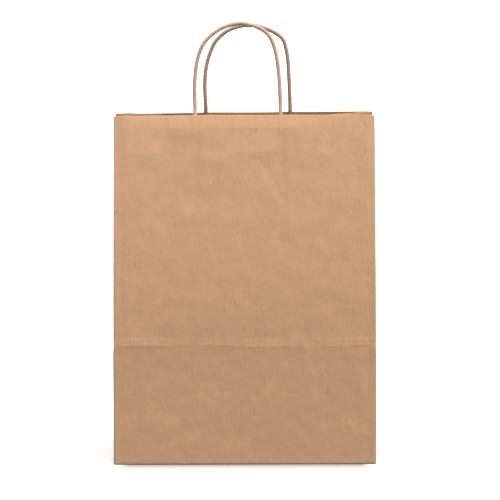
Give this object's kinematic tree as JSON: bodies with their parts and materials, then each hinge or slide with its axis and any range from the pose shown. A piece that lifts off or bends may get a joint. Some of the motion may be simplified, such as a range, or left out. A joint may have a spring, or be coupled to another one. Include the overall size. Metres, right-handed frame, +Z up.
{
  "type": "gift bag",
  "caption": "Kraft paper gift bag with a folded block bottom, tucked side gussets, a turned-in top edge and twisted paper cord handles.",
  "frame": {"origin": "middle of the base, on the surface that the bag stands on", "axes": "+X across the front panel to its right, +Y from the front panel to the back one, +Z up"},
  "size_m": [0.24, 0.11, 0.4026],
  "materials": {
    "kraft_outside": "matt brown kraft paper, faintly ribbed and flecked",
    "kraft_inside": "matt brown kraft paper, rougher inner side",
    "patch_paper": "matt brown kraft paper",
    "front_cord": "twisted paper cord, pale brown",
    "back_cord": "twisted paper cord, darker brown"
  },
  "bodies": {
    "base": {"back_panel_lower": "kraft_outside", "bottom_corner_fold_back_left": "kraft_inside", "bottom_corner_fold_back_right": "kraft_inside", "bottom_corner_fold_front_left": "kraft_inside", "bottom_corner_fold_front_right": "kraft_inside", "bottom_end_flap_left": "kraft_inside", "bottom_end_flap_right": "kraft_inside", "bottom_flap_back": "kraft_inside", "bottom_flap_front": "kraft_inside", "front_panel_lower": "kraft_outside", "left_gusset_lower": "kraft_outside", "right_gusset_lower": "kraft_outside", "seam_lap_lower": "kraft_inside"},
    "front_wall": {"front_panel_upper": "kraft_outside", "front_top_hem": "kraft_inside", "front_handle_outer_patch": "patch_paper", "front_handle_inner_patch": "patch_paper", "front_handle_cord_left_end": "front_cord", "front_handle_cord_right_end": "front_cord"},
    "back_wall": {"back_panel_upper": "kraft_outside", "back_top_hem": "kraft_inside", "seam_lap_upper": "kraft_inside", "back_handle_outer_patch": "patch_paper", "back_handle_inner_patch": "patch_paper", "back_handle_cord_left_end": "back_cord", "back_handle_cord_right_end": "back_cord"},
    "front_handle": {"front_handle_cord": "front_cord"},
    "back_handle": {"back_handle_cord": "back_cord"},
    "left_gusset_front": {"left_gusset_front_fold": "kraft_outside"},
    "left_gusset_back": {"left_gusset_back_fold": "kraft_outside"},
    "right_gusset_front": {"right_gusset_front_fold": "kraft_outside"},
    "right_gusset_back": {"right_gusset_back_fold": "kraft_outside"}
  },
  "joints": [
    {"name": "mouth_front", "type": "hinge", "parent": "base", "child": "front_wall", "pos_m": [0, -0.053, 0.107], "axis": [1, 0, 0], "range_deg": [-2.4, 8]},
    {"name": "mouth_back", "type": "hinge", "parent": "base", "child": "back_wall", "pos_m": [0, 0.053, 0.107], "axis": [-1, 0, 0], "range_deg": [-2.4, 8]},
    {"name": "front_handle_swing", "type": "hinge", "parent": "front_wall", "child": "front_handle", "pos_m": [0, -0.019, 0.3205], "axis": [1, 0, 0], "range_deg": [-1.5, 90]},
    {"name": "back_handle_swing", "type": "hinge", "parent": "back_wall", "child": "back_handle", "pos_m": [0, 0.019, 0.3205], "axis": [-1, 0, 0], "range_deg": [-1.5, 90]},
    {"name": "left_gusset_front_tuck", "type": "hinge", "parent": "front_wall", "child": "left_gusset_front", "pos_m": [-0.1053, -0.053, 0.107], "axis": [-0.8, -0.6, 0], "range_deg": [-3, 10], "deforming": ["left_gusset_front_fold"]},
    {"name": "left_gusset_back_tuck", "type": "hinge", "parent": "back_wall", "child": "left_gusset_back", "pos_m": [-0.1053, 0.053, 0.107], "axis": [0.8, -0.6, 0], "range_deg": [-3, 10], "deforming": ["left_gusset_back_fold"]},
    {"name": "right_gusset_front_tuck", "type": "hinge", "parent": "front_wall", "child": "right_gusset_front", "pos_m": [0.1053, -0.053, 0.107], "axis": [-0.8, 0.6, 0], "range_deg": [-3, 10], "deforming": ["right_gusset_front_fold"]},
    {"name": "right_gusset_back_tuck", "type": "hinge", "parent": "back_wall", "child": "right_gusset_back", "pos_m": [0.1053, 0.053, 0.107], "axis": [0.8, 0.6, 0], "range_deg": [-3, 10], "deforming": ["right_gusset_back_fold"]}
  ],
  "couplings": [
    {"joint": "mouth_back", "follows": "mouth_front", "ratio": 1},
    {"joint": "left_gusset_front_tuck", "follows": "mouth_front", "ratio": 1.25},
    {"joint": "left_gusset_back_tuck", "follows": "mouth_front", "ratio": 1.25},
    {"joint": "right_gusset_front_tuck", "follows": "mouth_front", "ratio": 1.25},
    {"joint": "right_gusset_back_tuck", "follows": "mouth_front", "ratio": 1.25}
  ]
}
